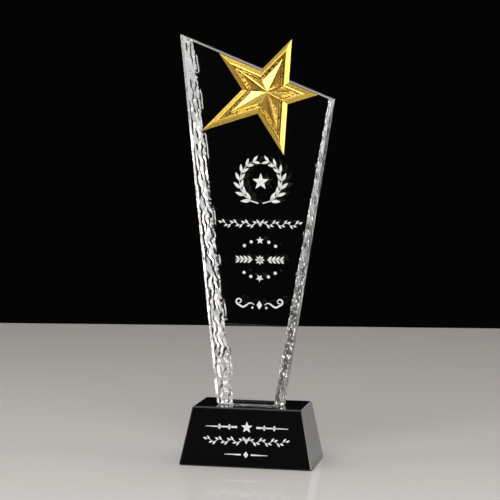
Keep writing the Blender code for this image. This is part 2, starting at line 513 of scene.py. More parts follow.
@dataclass
class BlackBlock:
    """The black glass block under the blade."""

    foot_depth: float = 0.048
    top_depth: float = 0.038
    height: float = 0.035

    def dress(self) -> None:
        """Give the block its polished black glass."""
        dress_node("base_block", BLACK_GLASS)

    def front_face(self) -> Matrix:
        """Find the frame of the front face.

        Returns:
            The frame, with X to the right, Y up the slope from its foot and Z outwards.
        """
        across = Vector((1.0, 0.0, 0.0))
        upward = Vector((0.0, 0.5 * (self.foot_depth - self.top_depth), self.height)).normalized()
        turned = Matrix((across, upward, across.cross(upward))).transposed().to_4x4()
        return Matrix.Translation((0.0, -0.5 * self.foot_depth, 0.0)) @ turned


@dataclass(frozen=True)
class Flake:
    """One flake of an edge, from its lower to its upper ridge."""

    start: float
    end: float
    size: float


@dataclass(frozen=True)
class Splinter:
    """A wavy groove that a splinter left in a scar: a short step down and a longer rise.

    Across, step, rise, lean and sway are shares of the scar's width. A nick or a sliver is a
    straight groove, whose depth is read along its middle.
    """

    along: float
    half_length: float
    depth: float
    across: float = 1.0
    step: float = 1.0
    rise: float = 1.0
    lean: float = 0.0
    sway: float = 0.0
    turn: float = 0.0
    long_wave: float = 0.0018
    short_wave: float = 0.0007
    short_share: float = 0.4

    def sink(self, along: float, across: float) -> float:
        """Find how deep the groove is at a spot of the scar.

        Args:
            along: Place along the edge.
            across: Place across the scar, from 0 at the side to 1 at the back face.

        Returns:
            The depth, or 0 outside the groove.
        """
        u = (along - self.along) / self.half_length
        wave = math.sin(along / self.long_wave + self.turn)
        wave += self.short_share * math.sin(along / self.short_wave + 2.0 * self.turn)
        v = across - self.across - self.lean * u - self.sway * wave
        flank = 1.0 + v / self.step if v < 0.0 else 1.0 - v / self.rise
        return self.depth * max(0.0, 1.0 - u ** 4) * max(0.0, flank)


def reaching(grooves: list[Splinter], along: float) -> list[Splinter]:
    """Return the grooves that reach a place along the edge."""
    return [groove for groove in grooves if abs(along - groove.along) < groove.half_length]


def deepest(grooves: list[Splinter], along: float, across: float = 1.0) -> float:
    """Return the depth of the deepest groove at a spot, or 0 where there is none."""
    return max((groove.sink(along, across) for groove in grooves), default=0.0)


@dataclass(frozen=True)
class KnappedEdge:
    """One upright back edge of the blade: a row of flakes, with splinters and nicks in their scars.

    Inward is 1 where the glass lies towards +X and -1 where it lies towards -X. Spans are the
    lowest and the highest value. Splinter columns up to smooth_columns stop at smooth_above, a
    share of the edge's length.
    """

    inward: int
    reach_at_foot: float
    reach_at_top: float
    side_at_foot: float
    side_at_top: float
    ridge_share: float
    scatter: float
    splinter_columns: tuple[float, ...]
    splinter_length: Span
    splinter_step: Span
    splinter_rise: Span
    splinter_depth: Span
    splinter_gap: Span
    splinter_sway: float
    smooth_above: float
    nick_length: Span
    nick_depth: Span
    sliver_length: Span
    sliver_gap: Span
    sliver_depth: float
    sliver_width: float = 0.0009
    sliver_crest: float = 0.35
    sliver_clearance: float = 0.0002
    nick_start: float = 0.75
    lip: float = 0.0
    lip_place: float = 0.06
    lip_width: float = 0.045
    hollow: float = 0.00012
    edge_fade: float = 14.0
    column_jitter: float = 0.05
    least_sway: float = 0.3
    smooth_columns: float = 0.4
    flake_step: float = 0.0025
    flake_steps: tuple[int, int] = (3, 6)
    columns: int = 44

    def strike_flakes(self, chance: random.Random, length: float) -> list[Flake]:
        """Share an edge out among flakes.

        Args:
            chance: The random source.
            length: Length of the edge.

        Returns:
            The flakes from the foot to the top.
        """
        stations = max(2, round(length / self.flake_step))
        step = length / stations
        ends = [0]
        while ends[-1] < stations:
            ends.append(ends[-1] + chance.randint(*self.flake_steps))
        return [
            Flake(start * step, end * step, 1.0 + self.scatter * chance.uniform(-1.0, 1.0))
            for start, end in zip(ends, ends[1:])
        ]

    def strike_splinters(self, chance: random.Random, length: float) -> list[Splinter]:
        """Lay columns of grooves along the scars.

        Args:
            chance: The random source.
            length: Length of the edge.

        Returns:
            The grooves, column by column.
        """
        splinters = []
        for column in self.splinter_columns:
            along = -chance.uniform(0.0, self.splinter_length[1])
            while along < length:
                half_length = 0.5 * chance.uniform(*self.splinter_length)
                groove = Splinter(
                    along=along + half_length,
                    half_length=half_length,
                    across=column + chance.uniform(-self.column_jitter, self.column_jitter),
                    step=chance.uniform(*self.splinter_step),
                    rise=chance.uniform(*self.splinter_rise),
                    lean=chance.uniform(-1.0, 1.0) * self.splinter_sway,
                    sway=chance.uniform(self.least_sway, 1.0) * self.splinter_sway,
                    turn=chance.uniform(0.0, 2.0 * math.pi),
                    depth=chance.uniform(*self.splinter_depth),
                )
                if column > self.smooth_columns or groove.along < self.smooth_above * length:
                    splinters.append(groove)
                along += 2.0 * half_length * chance.uniform(*self.splinter_gap)
        return splinters

    def strike_nicks(self, chance: random.Random, length: float) -> list[Splinter]:
        """Lay a row of small nicks along the rim of the scars on the back face.

        Args:
            chance: The random source.
            length: Length of the edge.

        Returns:
            The nicks from the foot to the top.
        """
        nicks = []
        along = 0.0
        while along < length:
            half_length = 0.5 * chance.uniform(*self.nick_length)
            nicks.append(Splinter(along + half_length, half_length, chance.uniform(*self.nick_depth)))
            along += 2.0 * half_length
        return nicks

    def strike_slivers(self, chance: random.Random, length: float) -> list[Splinter]:
        """Lay a broken row of thin slivers on the back face, beside the scars.

        Args:
            chance: The random source.
            length: Length of the edge.

        Returns:
            The slivers from the foot to the top.
        """
        slivers = []
        along = chance.uniform(*self.sliver_gap)
        while along < length:
            half_length = 0.5 * chance.uniform(*self.sliver_length)
            slivers.append(Splinter(along + half_length, half_length, self.sliver_depth))
            along += 2.0 * half_length + chance.uniform(*self.sliver_gap)
        return slivers

    def scar(self, rise: float, along: float, flakes: list[Flake], splinters: list[Splinter],
             nicks: list[Splinter], slivers: list[Splinter]) -> list[Span]:
        """Shape one line across a scar, from the flat side to the back face and the sliver on it.

        Args:
            rise: Place along the edge, from 0 at the foot to 1 at the top.
            along: The same place in metres.
            flakes: The flakes of this edge.
            splinters: Its splinter grooves.
            nicks: Its nicks.
            slivers: Its slivers.

        Returns:
            Pairs of the distance inwards from the side and the distance in front of the back face.
        """
        flake = next((f for f in flakes if along < f.end), flakes[-1])
        swell = max(0.0, math.sin(math.pi * (along - flake.start) / (flake.end - flake.start)))
        share = flake.size * (self.ridge_share + (1.0 - self.ridge_share) * swell)
        width = share * (self.reach_at_foot + (self.reach_at_top - self.reach_at_foot) * rise)
        side = share * (self.side_at_foot + (self.side_at_top - self.side_at_foot) * rise)
        slant = math.hypot(width, side)
        scale = slant / math.hypot(self.reach_at_foot, self.side_at_foot)
        grooves = reaching(splinters, along)
        nick = deepest(reaching(nicks, along), along)
        sliver = deepest(reaching(slivers, along), along)
        points = []
        for column in range(self.columns + 1):
            across = column / self.columns
            fade = min(1.0, self.edge_fade * across, self.edge_fade * (1.0 - across))
            sink = self.hollow * swell * 4.0 * across * (1.0 - across)
            sink += scale * fade * deepest(grooves, along, across)
            sink += self.lip * max(0.0, 1.0 - abs(across - self.lip_place) / self.lip_width)
            rim = nick * max(0.0, (across - self.nick_start) / (1.0 - self.nick_start)) ** 2
            inward = width * across + rim + sink * side / slant
            ahead = side * (1.0 - across) + sink * width / slant
            points.append((inward, ahead))
        beside = width + self.nick_depth[1] + self.sliver_clearance
        crest = beside + self.sliver_crest * self.sliver_width
        points += [(beside, 0.0), (crest, sliver), (beside + self.sliver_width, 0.0)]
        return points


@dataclass
class KnappedBlade:
    """The clear glass blade: polished faces, and flakes struck off the two upright back edges."""

    thickness: float = 0.015
    foot_width: float = 0.0408
    foot_shift: float = -0.0003
    foot_level: float = 0.0359
    left_rise: float = 0.2194
    left_lean: float = math.radians(6.32)
    right_lean: float = math.radians(8.33)
    top_slope: float = math.radians(22.25)
    top_arris: float = 0.0009
    side_arris: float = 0.0003
    left_edge: KnappedEdge = KnappedEdge(
        inward=1, reach_at_foot=0.0079, reach_at_top=0.0057, side_at_foot=0.0065, side_at_top=0.0047,
        ridge_share=0.97, scatter=0.02, splinter_columns=(0.14, 0.46, 0.78), splinter_length=(0.012, 0.036),
        splinter_step=(0.12, 0.16), splinter_rise=(0.22, 0.3), splinter_depth=(0.00032, 0.00044),
        splinter_gap=(0.95, 1.2), splinter_sway=0.14, smooth_above=0.82,
        nick_length=(0.0015, 0.006), nick_depth=(0.0002, 0.0011),
        sliver_length=(0.006, 0.022), sliver_gap=(0.006, 0.026), sliver_depth=0.00045,
    )
    right_edge: KnappedEdge = KnappedEdge(
        inward=-1, reach_at_foot=0.0075, reach_at_top=0.0033, side_at_foot=0.0088, side_at_top=0.0042,
        ridge_share=0.98, scatter=0.015, splinter_columns=(0.15, 0.38, 0.62, 0.85),
        splinter_length=(0.001, 0.003), splinter_step=(0.07, 0.12), splinter_rise=(0.07, 0.12),
        splinter_depth=(0.00008, 0.00016), splinter_gap=(1.4, 3.6), splinter_sway=0.03, smooth_above=1.0,
        nick_length=(0.001, 0.003), nick_depth=(0.0001, 0.0004),
        sliver_length=(0.002, 0.005), sliver_gap=(0.02, 0.06), sliver_depth=0.0002, lip=0.0006,
    )
    flake_seed: int = 7
    splinter_seed: int = 11
    fine_step: float = 0.0004
    ridge_angle: float = math.radians(24.0)

    def edge_way(self) -> Vector:
        """Return the direction down along the slanted top edge, in the XZ plane."""
        return Vector((math.cos(self.top_slope), -math.sin(self.top_slope)))

    def corners(self, top_drop: float = 0.0) -> tuple[Vector, Vector, Vector, Vector]:
        """Find the blade's corners in the XZ plane.

        Args:
            top_drop: How far the top edge is lowered, square to itself.

        Returns:
            The left foot, right foot, top right and top left corners.
        """
        half = 0.5 * self.foot_width
        left_foot = Vector((self.foot_shift - half, self.foot_level))
        right_foot = Vector((self.foot_shift + half, self.foot_level))
        left_way = Vector((-math.tan(self.left_lean), 1.0))
        right_way = Vector((math.tan(self.right_lean), 1.0))
        way = self.edge_way()
        square = Vector((-way.y, way.x))
        on_edge = left_foot + left_way * self.left_rise - square * top_drop
        tops = [
            foot + side * ((on_edge - foot).dot(square) / side.dot(square))
            for foot, side in ((right_foot, right_way), (left_foot, left_way))
        ]
        return left_foot, right_foot, tops[0], tops[1]

    def build_side(self, shape: bmesh.types.BMesh, edge: KnappedEdge, ends: tuple[Vector, Vector, Vector],
                   chance: random.Random, fine_chance: random.Random) -> list[Loop]:
        """Build one upright side of the blade.

        Args:
            shape: The mesh.
            edge: The side's knapped edge.
            ends: Lower end, upper end under the top arris, and upper end on the top face.
            chance: Random source of the flakes.
            fine_chance: Random source of the splinters, nicks and slivers.

        Returns:
            The vertex rows, each from the front face round to the back.
        """
        foot, top, crown = ends
        length = (top - foot).length
        flakes = edge.strike_flakes(chance, length)
        splinters = edge.strike_splinters(fine_chance, length)
        nicks = edge.strike_nicks(fine_chance, length)
        slivers = edge.strike_slivers(fine_chance, length)
        half = 0.5 * self.thickness
        arris = [(self.side_arris, -half), (0.0, self.side_arris - half)]
        steps = round(length / self.fine_step)
        lines = []
        for step in range(steps + 1):
            rise = step / steps
            turn = self.top_slope * rise
            inward_way = Vector((math.cos(turn), -math.sin(turn))) * edge.inward
            scar = edge.scar(rise, rise * length, flakes, splinters, nicks, slivers)
            section = arris + [(inward, half - ahead) for inward, ahead in scar]
            spots = [(foot.lerp(top, rise) + inward_way * inward, y) for inward, y in section]
            lines.append([shape.verts.new((spot.x, y, spot.y)) for spot, y in spots])
        lid = half - self.top_arris
        lift = crown - top
        lines.append([
            shape.verts.new((v.co.x + lift.x, max(-lid, min(lid, v.co.y)), v.co.z + lift.y))
            for v in lines[-1]
        ])
        for lower, upper in zip(lines, lines[1:]):
            for i in range(len(lower) - 1):
                face = shape.faces.new((lower[i], lower[i + 1], upper[i + 1], upper[i]))
                in_scar = 0 <= i - len(arris) < edge.columns
                face.material_index = (GlassZone.KNAPPED if in_scar else GlassZone.POLISHED).value
        return lines

    def build(self) -> None:
        """Join two knapped sides with flat faces and a slanted top, in place of the CAD node."""
        chance = random.Random(self.flake_seed)
        fine_chance = random.Random(self.splinter_seed)
        shape = bmesh.new()
        left_foot, right_foot, right_top, left_top = self.corners(self.top_arris)
        right_crown, left_crown = self.corners()[2:]
        left_ends = (left_foot, left_top, left_crown)
        right_ends = (right_foot, right_top, right_crown)
        left = self.build_side(shape, self.left_edge, left_ends, chance, fine_chance)
        right = self.build_side(shape, self.right_edge, right_ends, chance, fine_chance)
        for column in (0, -1):
            left_line = [row[column] for row in left[:-1]]
            right_line = [row[column] for row in right[:-1]]
            shape.faces.new(left_line + right_line[::-1])
            shape.faces.new((left[-2][column], right[-2][column], right[-1][column], left[-1][column]))
        for level in (0, -1):
            shape.faces.new(left[level] + right[level][::-1])
        blade = add_piece("knapped_blade", shape, [CLEAR_GLASS, KNAPPED_GLASS])
        # Only the large flat faces have more than four corners, and their edges stay crisp.
        flat_faces = [face for face in blade.data.polygons if face.loop_total > 4]
        creases = {key for face in flat_faces for key in face.edge_keys}
        smooth_with_creases(blade.data, self.ridge_angle, creases)
        seat_piece(blade, Slot.CLEAR_GLASS, "blade")

    def front_face(self) -> Matrix:
        """Return the frame of the front face: X to the right, Y up, Z outwards."""
        turned = Euler((math.radians(90.0), 0.0, 0.0)).to_matrix().to_4x4()
        return Matrix.Translation((0.0, -0.5 * self.thickness, 0.0)) @ turned

    def star_seat(self, along: float, below: float) -> Matrix:
        """Find the star's place on the front face.

        Args:
            along: Distance down along the top edge from its left end.
            below: Distance under the top edge, square to it.

        Returns:
            A frame with X down along the top edge, Y square to that edge and Z outwards.
        """
        way = self.edge_way()
        centre = self.corners()[3] + way * along - Vector((-way.y, way.x)) * below
        turned = Euler((math.radians(90.0), self.top_slope, 0.0)).to_matrix().to_4x4()
        return Matrix.Translation((centre.x, -0.5 * self.thickness, centre.y)) @ turned


@dataclass
class ResinFilm:
    """The cured resin between the blade and the block, drawn in a little at its rim."""

    half_width: float = 0.0198
    half_depth: float = 0.0069
    left_back: float = 0.0119
    left_side: float = 0.0004
    right_back: float = 0.0123
    right_side: float = -0.0019
    shift: float = -0.0003
    bottom: float = 0.03502
    top: float = 0.03588
    waist: float = 0.0002

    def build(self) -> None:
        """Loft the film through its waist and seat it in place of its CAD node."""
        outline = [Vector(spot) for spot in (
            (-self.half_width, -self.half_depth), (-self.half_width, self.left_side),
            (-self.left_back, self.half_depth), (self.right_back, self.half_depth),
            (self.half_width, self.right_side), (self.half_width, -self.half_depth),
        )]
        middle = 0.5 * (self.bottom + self.top)
        shape = bmesh.new()
        loops = []
        for level, inset in ((self.bottom, 0.0), (middle, self.waist), (self.top, 0.0)):
            points = inset_outline(outline, inset)
            loops.append([shape.verts.new((p.x + self.shift, p.y, level)) for p in points])
        loft(shape, loops)
        seat_piece(add_piece("resin_film", shape, [BOND_RESIN]), Slot.CLEAR_RESIN, "blade_bond")


@dataclass
class GoldStar:
    """The gold star: bevelled edge, rim, grained groove and ten facets up to a peak."""

    along_edge: float = 0.0631
    below_edge: float = 0.0107
    stand_off: float = 0.0012
    arms: tuple[tuple[float, float], ...] = (
        (0.0336, 89.2), (0.0289, 19.3), (0.0383, -53.8), (0.0468, -127.8), (0.0378, 165.5),
    )
    edge_height: float = 0.0008
    bevel_width: float = 0.0025
    rim_height: float = 0.0032
    rim_width: float = 0.0006
    rim_rise: float = 0.0002
    groove_wall: float = 0.0003
    groove_width: float = 0.0011
    groove_height: float = 0.0023
    apex_height: float = 0.0076
    soft_tip: float = 0.0001
    soft_crest: float = 0.0003
    soft_ridge: float = 0.0005
    corner_steps: int = 6
    side_steps: int = 64
    grain_columns: int = 4
    grain_height: float = 0.00012
    grain_seed: int = 23
    facet_steps: tuple[float, ...] = (0.03, 0.12, 0.3, 0.5, 0.7, 0.86, 0.96)
    crown: float = 0.0001
    ridge_angle: float = math.radians(20.0)
    corner_share: float = 0.4

    def outline(self) -> Outline:
        """Draw the star's outer edge.

        Returns:
            The tips and the valleys between them, clockwise from the top arm.
        """
        tips = [
            Vector((reach * math.cos(math.radians(turn)), reach * math.sin(math.radians(turn))))
            for reach, turn in self.arms
        ]
        points = []
        for i in range(len(tips)):
            before, tip, after, beyond = (tips[(i + k) % len(tips)] for k in (-1, 0, 1, 2))
            points += [tip, crossing(tip, beyond, before, after)]
        return points

    def profile(self) -> list[tuple[float, float, GoldZone]]:
        """Draw the section from the outer edge to the foot of the facets, with rounded corners.

        Returns:
            For each level its distance inwards, its height and the band that ends there.
        """
        rim_inner = self.bevel_width + self.rim_width
        groove_outer = rim_inner + self.groove_wall
        groove_inner = groove_outer + self.groove_width
        corners = [
            Vector((0.0, 0.0)), Vector((0.0, self.edge_height)), Vector((self.bevel_width, self.rim_height)),
            Vector((rim_inner, self.rim_height + self.rim_rise)), Vector((groove_outer, self.groove_height)),
            Vector((groove_inner, self.groove_height)),
        ]
        ends = (GoldZone.BEVEL, GoldZone.BEVEL, GoldZone.RIM, GoldZone.GROOVE)
        levels = [(0.0, 0.0, GoldZone.BEVEL)]
        for before, corner, after, zone in zip(corners, corners[1:], corners[2:], ends):
            for spot in self.round_corner(before, corner, after, self.soft_crest):
                levels.append((spot.x, spot.y, zone))
        for column in range(1, self.grain_columns + 1):
            distance = groove_outer + self.groove_width * column / self.grain_columns
            levels.append((distance, self.groove_height, GoldZone.GROOVE))
        return levels

    def round_corner(self, before: Vector, corner: Vector, after: Vector, reach: float) -> Outline:
        """Round one corner of a line.

        Args:
            before: The point before the corner.
            corner: The corner.
            after: The point after it.
            reach: How far along each side the rounding starts.

        Returns:
            The points that take the corner's place.
        """
        to_before = before - corner
        to_after = after - corner
        start = corner + to_before.normalized() * min(reach, self.corner_share * to_before.length)
        end = corner + to_after.normalized() * min(reach, self.corner_share * to_after.length)
        shares = [i / self.corner_steps for i in range(self.corner_steps + 1)]
        return [start.lerp(corner, t).lerp(corner.lerp(end, t), t) for t in shares]

    def soft_loop(self, corners: Outline, softness: float) -> Outline:
        """Round the corners of an outline and share its sides out evenly.

        Args:
            corners: The sharp outline.
            softness: Half the width of the rounding, square to the line that halves the corner.

        Returns:
            The fine outline, with as many points for any outline of as many corners.
        """
        count = len(corners)
        arcs = []
        for i, corner in enumerate(corners):
            before = corners[i - 1]
            after = corners[(i + 1) % count]
            opening = 0.5 * (before - corner).angle(after - corner)
            arcs.append(self.round_corner(before, corner, after, softness / math.sin(opening)))
        points = []
        for i, arc in enumerate(arcs):
            start = arc[-1]
            end = arcs[(i + 1) % count][0]
            points += arc + [start.lerp(end, k / self.side_steps) for k in range(1, self.side_steps)]
        return points

    def build(self, blade: KnappedBlade) -> None:
        """Raise the star from its outline on the blade's front, in place of its CAD node.

        Args:
            blade: The blade that carries the star.
        """
        lifted = Matrix.Translation((0.0, 0.0, self.stand_off))
        seat = blade.star_seat(self.along_edge, self.below_edge) @ lifted
        chance = random.Random(self.grain_seed)
        outline = self.outline()
        levels = self.profile()
        shape = bmesh.new()
        loop: Loop = []
        for i, (distance, height, zone) in enumerate(levels):
            grain = self.grain_height if len(levels) - self.grain_columns <= i < len(levels) - 1 else 0.0
            upper = [
                shape.verts.new(seat @ Vector((p.x, p.y, height + grain * chance.uniform(-1.0, 1.0))))
                for p in self.soft_loop(inset_outline(outline, distance), self.soft_tip)
            ]
            if loop:
                bridge(shape, loop, upper, zone.value)
            else:
                shape.faces.new(upper).material_index = GoldZone.RIM.value
            loop = upper
        foot = inset_outline(outline, levels[-1][0])
        around = self.corner_steps + self.side_steps
        for share in self.facet_steps:
            height = self.groove_height + (self.apex_height - self.groove_height) * share
            points = self.soft_loop([p * (1.0 - share) for p in foot], self.soft_ridge)
            upper = []
            for i, p in enumerate(points):
                along = max(0.0, (i % around - self.corner_steps) / self.side_steps)
                # Sixteen makes the swell as high as the crown in the middle of a facet.
                swell = self.crown * 16.0 * share * (1.0 - share) * along * (1.0 - along)
                upper.append(shape.verts.new(seat @ Vector((p.x, p.y, height + swell))))
            bridge(shape, loop, upper, GoldZone.FACET.value)
            loop = upper
        peak = shape.verts.new(seat @ Vector((0.0, 0.0, self.apex_height - self.soft_ridge)))
        for i in range(len(loop)):
            facet = shape.faces.new((loop[i], loop[(i + 1) % len(loop)], peak))
            facet.material_index = GoldZone.FACET.value
        star = add_piece("gold_star", shape, [GOLD_BANDS[zone] for zone in GoldZone])
        edges = {zone: set() for zone in GoldZone}
        for face in star.data.polygons:
            edges[GoldZone(face.material_index)].update(face.edge_keys)
        smooth_with_creases(star.data, self.ridge_angle, edges[GoldZone.GROOVE] & edges[GoldZone.FACET])
        seat_piece(star, Slot.GOLD_PLATE, "star")


def taper(first: float, last: float, steps: int) -> list[float]:
    """Return values that go evenly from first to last in so many steps."""
    return [first + (last - first) * i / steps for i in range(steps + 1)]


def heading(turn: float) -> Vector:
    """Return the direction that lies at an angle in radians."""
    return Vector((math.cos(turn), math.sin(turn)))


def placed(outline: Outline, x: float, y: float, turn: float = 0.0) -> Outline:
    """Return an outline turned by an angle in radians and then moved."""
    turned = Matrix.Rotation(turn, 2)
    return [turned @ p + Vector((x, y)) for p in outline]


def star_outline(reach: float, waist: float = 0.42) -> Outline:
    """Return a five-pointed star with one tip up and its valleys at a share of its reach."""
    turns = [math.radians(90.0 + 36.0 * i) for i in range(10)]
    return [heading(t) * (reach if i % 2 == 0 else reach * waist) for i, t in enumerate(turns)]


def disc_outline(radius: float, steps: int = 20) -> Outline:
    """Return a circle."""
    return [heading(2.0 * math.pi * i / steps) * radius for i in range(steps)]


def leaf_outline(length: float, width: float, steps: int = 8, fullness: float = 0.85) -> Outline:
    """Draw a pointed leaf that grows along +X from the origin.

    Args:
        length: Its length.
        width: Its greatest width.
        steps: Steps along it.
        fullness: Below 1, the leaf is widest before its middle.

    Returns:
        The outline of the leaf.
    """
    upper = []
    lower = []
    for i in range(steps + 1):
        share = i / steps
        half = 0.5 * width * math.sin(math.pi * share ** fullness)
        upper.append(Vector((length * share, half)))
        lower.append(Vector((length * share, -half)))
    return lower + upper[-2:0:-1]


def lozenge_outline(width: float, height: float) -> Outline:
    """Return an upright lozenge."""
    corners = ((1.0, 0.0), (0.0, 1.0), (-1.0, 0.0), (0.0, -1.0))
    return [Vector((0.5 * width * x, 0.5 * height * y)) for x, y in corners]


def ribbon_outline(line: Outline, widths: list[float]) -> Outline:
    """Give a line its width.

    Args:
        line: Points along the middle.
        widths: Full width at each point.

    Returns:
        The outline round the line.
    """
    left = []
    right = []
    for i, spot in enumerate(line):
        way = (line[min(i + 1, len(line) - 1)] - line[max(i - 1, 0)]).normalized()
        side = Vector((-way.y, way.x)) * (0.5 * widths[i])
        left.append(spot + side)
        right.append(spot - side)
    return right + left[::-1]


@dataclass(frozen=True)
class Rule:
    """A tapering rule to the right of a middle line, with its widths at its two ends."""

    ends: Span
    widths: Span
    steps: int

    def outline(self) -> Outline:
        """Return the outline of the rule."""
        line = [Vector((x, 0.0)) for x in taper(*self.ends, self.steps)]
        return ribbon_outline(line, taper(*self.widths, self.steps))


@dataclass
class PrintSheet:
    """A set of flat ornaments that is raised into one thin piece."""

    thickness: float = 0.00006
    sunk: float = 0.00003
    outlines: list[Outline] = field(default_factory=list)

    def add(self, outline: Outline, x: float, y: float, turn: float = 0.0, flip: bool = False) -> None:
        """Place an ornament.

        Args:
            outline: Its shape.
            x: Place to the right.
            y: Place upwards.
            turn: Turn in degrees.
            flip: Mirror the ornament left to right before it is turned and placed.
        """
        if flip:
            outline = [Vector((-p.x, p.y)) for p in outline[::-1]]
        self.outlines.append(placed(outline, x, y, math.radians(turn)))

    def add_pair(self, outline: Outline, middle: float, y: float) -> None:
        """Place an outline that is drawn to the right of a middle line, and its mirror image."""
        self.add(outline, middle, y)
        self.add(outline, middle, y, flip=True)

    def raise_on(self, name: str, face: Matrix) -> None:
        """Raise the ornaments on a face.

        Args:
            name: Name of the printed piece.
            face: Frame of the face, with Z outwards.
        """
        shape = bmesh.new()
        for outline in self.outlines:
            loft(shape, [
                [shape.verts.new(face @ Vector((p.x, p.y, level))) for p in outline]
                for level in (-self.sunk, self.thickness)
            ])
        seat_piece(add_piece(name, shape, [WHITE_INK]), Slot.WHITE_PRINT)


@dataclass
class Ornaments:
    """The white ornaments on the blade and on the block.

    Levels are heights on the face, and leans are in degrees. A stem gives its width at its start and
    at its end, a leaf its length and width, and a lozenge its width and height.
    """

    middle: float = 0.0046
    laurel_level: float = 0.1685
    laurel_reach: float = 0.0128
    laurel_pairs: int = 7
    laurel_arc: Span = (-84.0, 68.0)
    laurel_stem: Span = (0.0007, 0.0003)
    laurel_leaf: float = 0.0062
    laurel_shrink: float = 0.00025
    laurel_slimness: float = 0.34
    laurel_leans: Span = (34.0, -30.0)
    laurel_star: float = 0.0052
    vine_level: float = 0.1435
    vine_half: float = 0.0243
    vine_waves: int = 7
    vine_steps: int = 56
    vine_rise: float = 0.0008
    vine_stem: Span = (0.0005, 0.0002)
    vine_leaf: Span = (0.0027, 0.0011)
    vine_leaf_starts: Span = (-0.0012, 0.0004)
    vine_leaf_leans: Span = (48.0, 20.0)
    vine_leaf_share: float = 0.7
    vine_lozenge: Span = (0.0022, 0.0032)
    upper_stars_level: float = 0.1337
    lower_stars_level: float = 0.1113
    small_star: float = 0.0024
    dot: float = 0.00095
    dot_spots: tuple[Span, Span] = ((0.0053, 0.0009), (0.0094, 0.0032))
    sprig_level: float = 0.1221
    petals: int = 8
    petal: Span = (0.0029, 0.0013)
    sprig_start: float = 0.0044
    sprig_length: float = 0.0104
    sprig_bow: float = 0.0004
    sprig_stem: Span = (0.00055, 0.00025)
    sprig_steps: int = 10
    sprig_pairs: int = 4
    sprig_leaf: Span = (0.0032, 0.0013)
    sprig_leaf_start: float = 0.0050
    sprig_leaf_step: float = 0.0024
    sprig_leaf_lift: float = 0.0002
    sprig_lean: float = 42.0
    flourish_level: float = 0.0952
    flourish_lozenge: Span = (0.0034, 0.0052)
    stroke_steps: int = 32
    stroke_share: float = 0.6
    stroke_start: float = 0.0030
    stroke_length: float = 0.0092
    stroke_wave: float = 0.0012
    stroke_width: float = 0.0003
    stroke_swell: float = 0.0008
    curl_middle: Span = (0.0122, 0.0021)
    curl_reach: float = 0.0021
    curl_shrink: float = 0.6
    curl_turn: float = 400.0
    flourish_dot: float = 0.0007
    flourish_dot_spot: Span = (0.0042, -0.0016)
    block_middle: float = 0.0003
    head_level: float = 0.0240
    head_star: float = 0.0036
    head_rule: Rule = Rule((0.0058, 0.0248), (0.0012, 0.00036), 12)
    head_lozenge: Span = (0.0026, 0.0034)
    head_lozenge_spots: Span = (0.0105, 0.0165)
    block_vine_level: float = 0.0158
    block_vine_half: float = 0.0250
    foot_level: float = 0.0079
    foot_lozenge: Span = (0.0030, 0.0040)
    foot_rule: Rule = Rule((0.0030, 0.0130), (0.0010, 0.00028), 8)

    def draw_laurel(self, sheet: PrintSheet) -> None:
        """Draw two laurel branches round a small star.

        Args:
            sheet: The sheet.
        """
        turns = [math.radians(turn) for turn in taper(*self.laurel_arc, self.laurel_pairs)]
        stem = [heading(t) * self.laurel_reach for t in turns]
        for flip in (False, True):
            ribbon = ribbon_outline(stem, taper(*self.laurel_stem, self.laurel_pairs))
            sheet.add(ribbon, self.middle, self.laurel_level, flip=flip)
            for i, (t, spot) in enumerate(zip(turns[1:], stem[1:])):
                size = self.laurel_leaf - self.laurel_shrink * i
                for lean in self.laurel_leans:
                    leaf = leaf_outline(size, self.laurel_slimness * size)
                    leaf = placed(leaf, spot.x, spot.y, t + math.radians(90.0 + lean))
                    sheet.add(leaf, self.middle, self.laurel_level, flip=flip)
        sheet.add(star_outline(self.laurel_star), self.middle, self.laurel_level)

    def draw_vine(self, sheet: PrintSheet, middle: float, level: float, half: float) -> None:
        """Draw a waved stem with two leaves on each crest.

        Args:
            sheet: The sheet.
            middle: Middle of the vine.
            level: Height of the vine.
            half: Half its length.
        """
        line = []
        for i in range(self.vine_steps + 1):
            wave = math.sin(math.pi * self.vine_waves * i / self.vine_steps)
            line.append(Vector((half * i / self.vine_steps, self.vine_rise * wave)))
        sheet.add_pair(ribbon_outline(line, taper(*self.vine_stem, self.vine_steps)), middle, level)
        for wave in range(self.vine_waves):
            x = half * (wave + 0.5) / self.vine_waves
            up = 1.0 if wave % 2 == 0 else -1.0
            lift = up * self.vine_rise * self.vine_leaf_share
            for start, lean in zip(self.vine_leaf_starts, self.vine_leaf_leans):
                leaf = placed(leaf_outline(*self.vine_leaf), x + start, lift, math.radians(up * lean))
                sheet.add_pair(leaf, middle, level)
        sheet.add(lozenge_outline(*self.vine_lozenge), middle, level)

    def draw_star_arc(self, sheet: PrintSheet, level: float, up: float) -> None:
        """Draw a small star with two dots on each side, on an arc.

        Args:
            sheet: The sheet.
            level: Height of the star.
            up: 1 for an arc that bows upwards, -1 for one that bows downwards.
        """
        sheet.add(star_outline(self.small_star), self.middle, level, 0.0 if up > 0.0 else 180.0)
        for x, drop in self.dot_spots:
            sheet.add_pair(placed(disc_outline(self.dot), x, 0.0), self.middle, level - up * drop)

